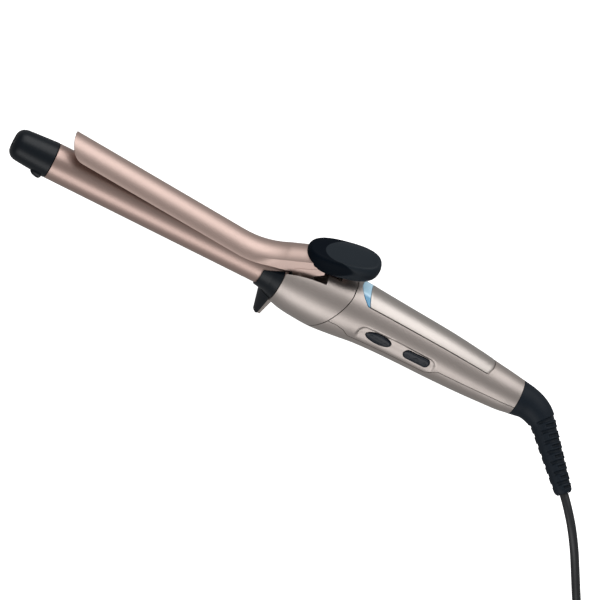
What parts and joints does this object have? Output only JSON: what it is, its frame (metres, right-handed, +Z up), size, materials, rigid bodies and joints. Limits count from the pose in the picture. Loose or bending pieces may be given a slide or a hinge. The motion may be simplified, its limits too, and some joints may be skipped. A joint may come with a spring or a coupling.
{
  "type": "curling iron",
  "caption": "Corded hair curling iron with a heated barrel, spring clip with thumb lever, display, side buttons and a swivel cord, lying on its side.",
  "frame": {"origin": "on the table under the middle of the iron's box, its free cord left out", "axes": "+X along the iron from the barrel's tip to the cord, +Z up from the table it lies on, +Y to the thumb lever's side"},
  "size_m": [0.4644, 0.2367, 0.0496],
  "materials": {
    "rose_gold_barrel": "rose gold ceramic coating, satin",
    "rose_gold_clip": "rose gold ceramic coating, satin",
    "black_plastic": "black heat-resistant plastic, satin",
    "champagne": "champagne metallic lacquer on plastic, satin",
    "champagne_gloss": "champagne metallic lacquer under a clear gloss coat",
    "display_blue": "clear window lit light blue",
    "display_module": "display glass",
    "soft_black": "black soft-touch plastic, matte",
    "button_black": "black plastic, gloss",
    "steel": "plated steel",
    "ceramic": "white ceramic, unglazed",
    "aluminium": "extruded",
    "brass": "bright",
    "white_plastic": "white sleeve",
    "circuit_green": "solder mask on fibreglass",
    "component_black": "moulded black plastic",
    "lead_red": "insulated wire",
    "lead_blue": "insulated wire",
    "cord_black": "black flexible cable jacket, satin"
  },
  "bodies": {
    "handle": {"barrel_tube": "rose_gold_barrel", "tip_cap": "black_plastic", "foot_facing": "black_plastic", "barrel_collar": "black_plastic", "front_housing": "champagne", "handle_upper_shell": "champagne", "handle_lower_shell": "champagne", "top_panel": "champagne_gloss", "display_lens": "display_blue", "display_module": "display_module", "tip_screw": "steel", "tip_anchor": "steel", "shell_screw_front": "steel", "shell_screw_rear": "steel", "clip_bracket": "steel", "clip_pin": "steel", "clip_spring": "steel", "barrel_end_plug": "ceramic", "ptc_element": "ceramic", "temperature_sensor": "ceramic", "heater_block_upper": "aluminium", "heater_block_lower": "aluminium", "electrode_upper": "brass", "electrode_lower": "brass", "contact_spring_front": "brass", "contact_spring_rear": "brass", "plug_pin_live": "brass", "plug_pin_neutral": "brass", "thermal_fuse": "white_plastic", "circuit_board": "circuit_green", "button_board": "circuit_green", "control_chip": "component_black", "power_capacitor": "component_black", "triac": "component_black", "switch_power": "component_black", "switch_warmer": "component_black", "switch_cooler": "component_black", "varistor": "lead_blue", "heater_lead_live": "lead_red", "mains_lead_live": "lead_red", "heater_lead_neutral": "lead_blue", "mains_lead_neutral": "lead_blue", "cord": "cord_black", "cord_coil": "cord_black", "cord_tail": "cord_black", "coil_tie": "cord_black", "plug_body": "cord_black"},
    "clip": {"clip_shell": "rose_gold_clip", "thumb_pad": "soft_black", "pad_screw_front": "steel", "pad_screw_rear": "steel"},
    "power_button": {"power_button": "button_black"},
    "temp_rocker": {"temp_rocker": "button_black"},
    "swivel": {"strain_relief": "soft_black", "swivel_core": "component_black", "slip_ring_front": "brass", "slip_ring_rear": "brass"}
  },
  "joints": [
    {"name": "clip_hinge", "type": "hinge", "parent": "handle", "child": "clip", "pos_m": [-0.01052, 0.01232, 0.02564], "axis": [0, 0.5592, -0.829], "range_deg": [-4.4, 9], "stiffness_Nm_per_rad": 0.8, "springref_deg": -4.39, "deforming": ["clip_spring"]},
    {"name": "power_press", "type": "slide", "parent": "handle", "child": "power_button", "axis": [0, 0.5592, -0.829], "range_m": [0, 0.0006], "stiffness_N_per_m": 1500},
    {"name": "temp_rock", "type": "hinge", "parent": "handle", "child": "temp_rocker", "pos_m": [0.07388, -0.00426, 0.03206], "axis": [0, 0.829, 0.5592], "range_deg": [-4, 4], "stiffness_Nm_per_rad": 0.5},
    {"name": "cord_swivel", "type": "hinge", "parent": "handle", "child": "swivel", "pos_m": [0.14108, 0.00155, 0.01837], "axis": [1, 0, 0], "continuous": true}
  ]
}
